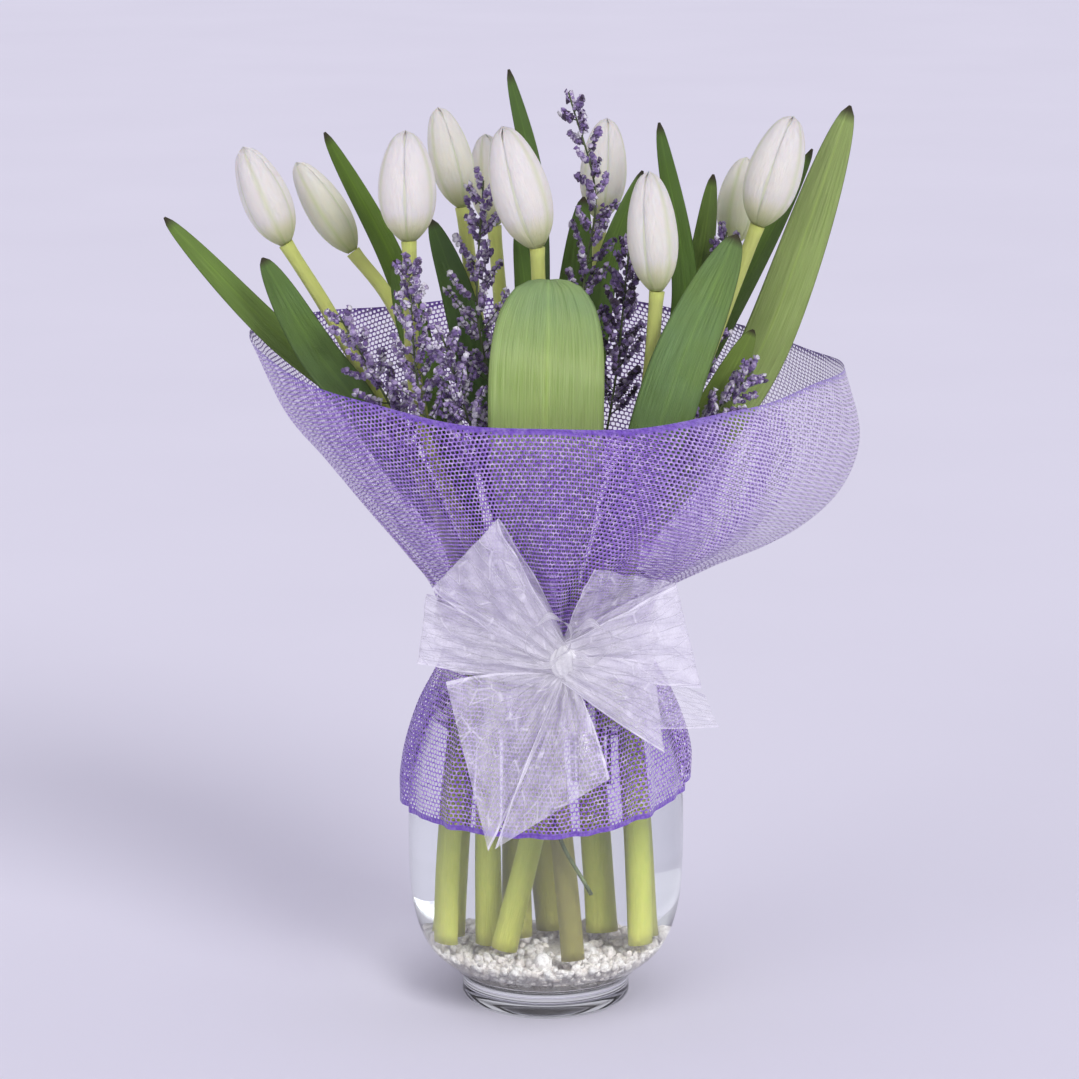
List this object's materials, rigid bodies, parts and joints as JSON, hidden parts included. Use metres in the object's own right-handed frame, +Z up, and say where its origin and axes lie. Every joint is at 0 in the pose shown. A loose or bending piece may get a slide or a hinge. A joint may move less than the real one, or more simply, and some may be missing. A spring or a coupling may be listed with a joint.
{
  "type": "bouquet of tulips in a glass vase",
  "caption": "Closed white tulips with leaves and sea lavender in a round glass vase of water and gravel, in an open mesh wrap that a sheer ribbon bow ties at the neck.",
  "frame": {"origin": "centre of the underside of the vase's foot", "axes": "+Z up along the vase's axis, -Y the front with the bow, +X to the right seen from the front"},
  "size_m": [0.314, 0.144, 0.4343],
  "materials": {
    "glass": "clear, polished",
    "water": "clear, still",
    "gravel": "fine, pale, wet",
    "stem": "smooth, waxy",
    "petal": "satin, thin",
    "leaf": "satin, waxy, with fine long veins",
    "sea_lavender": "dry, matt",
    "mesh": "open woven mesh, slight sheen",
    "organza": "sheer, crisp, with a sheen"
  },
  "bodies": {
    "root": {"vase": "glass", "gravel_bed": "gravel", "water": "water", "tulip_stem_01": "stem", "tulip_flower_01": "petal", "tulip_stem_02": "stem", "tulip_flower_02": "petal", "tulip_stem_03": "stem", "tulip_flower_03": "petal", "tulip_stem_04": "stem", "tulip_flower_04": "petal", "tulip_stem_05": "stem", "tulip_flower_05": "petal", "tulip_stem_06": "stem", "tulip_flower_06": "petal", "tulip_stem_07": "stem", "tulip_flower_07": "petal", "tulip_stem_08": "stem", "tulip_flower_08": "petal", "tulip_stem_09": "stem", "tulip_flower_09": "petal", "tulip_stem_10": "stem", "tulip_flower_10": "petal", "leaf_01": "leaf", "leaf_02": "leaf", "leaf_03": "leaf", "leaf_04": "leaf", "leaf_05": "leaf", "leaf_06": "leaf", "leaf_07": "leaf", "leaf_08": "leaf", "leaf_09": "leaf", "leaf_10": "leaf", "leaf_11": "leaf", "leaf_12": "leaf", "leaf_13": "leaf", "leaf_14": "leaf", "leaf_15": "leaf", "leaf_16": "leaf", "sea_lavender_1": "sea_lavender", "sea_lavender_2": "sea_lavender", "sea_lavender_3": "sea_lavender", "sea_lavender_4": "sea_lavender", "sea_lavender_5": "sea_lavender", "sea_lavender_6": "sea_lavender", "sea_lavender_7": "sea_lavender", "sea_lavender_8": "sea_lavender", "mesh_skirt": "mesh", "mesh_wall_right": "mesh", "mesh_wall_back": "mesh", "mesh_wall_left": "mesh", "mesh_wall_front": "mesh", "ribbon_band": "organza", "bow_knot": "organza", "bow_loop_upper_left": "organza", "bow_loop_left": "organza", "bow_loop_upper_right": "organza", "bow_loop_right": "organza", "bow_tail_left": "organza", "bow_tail_right": "organza"}
  },
  "joints": []
}
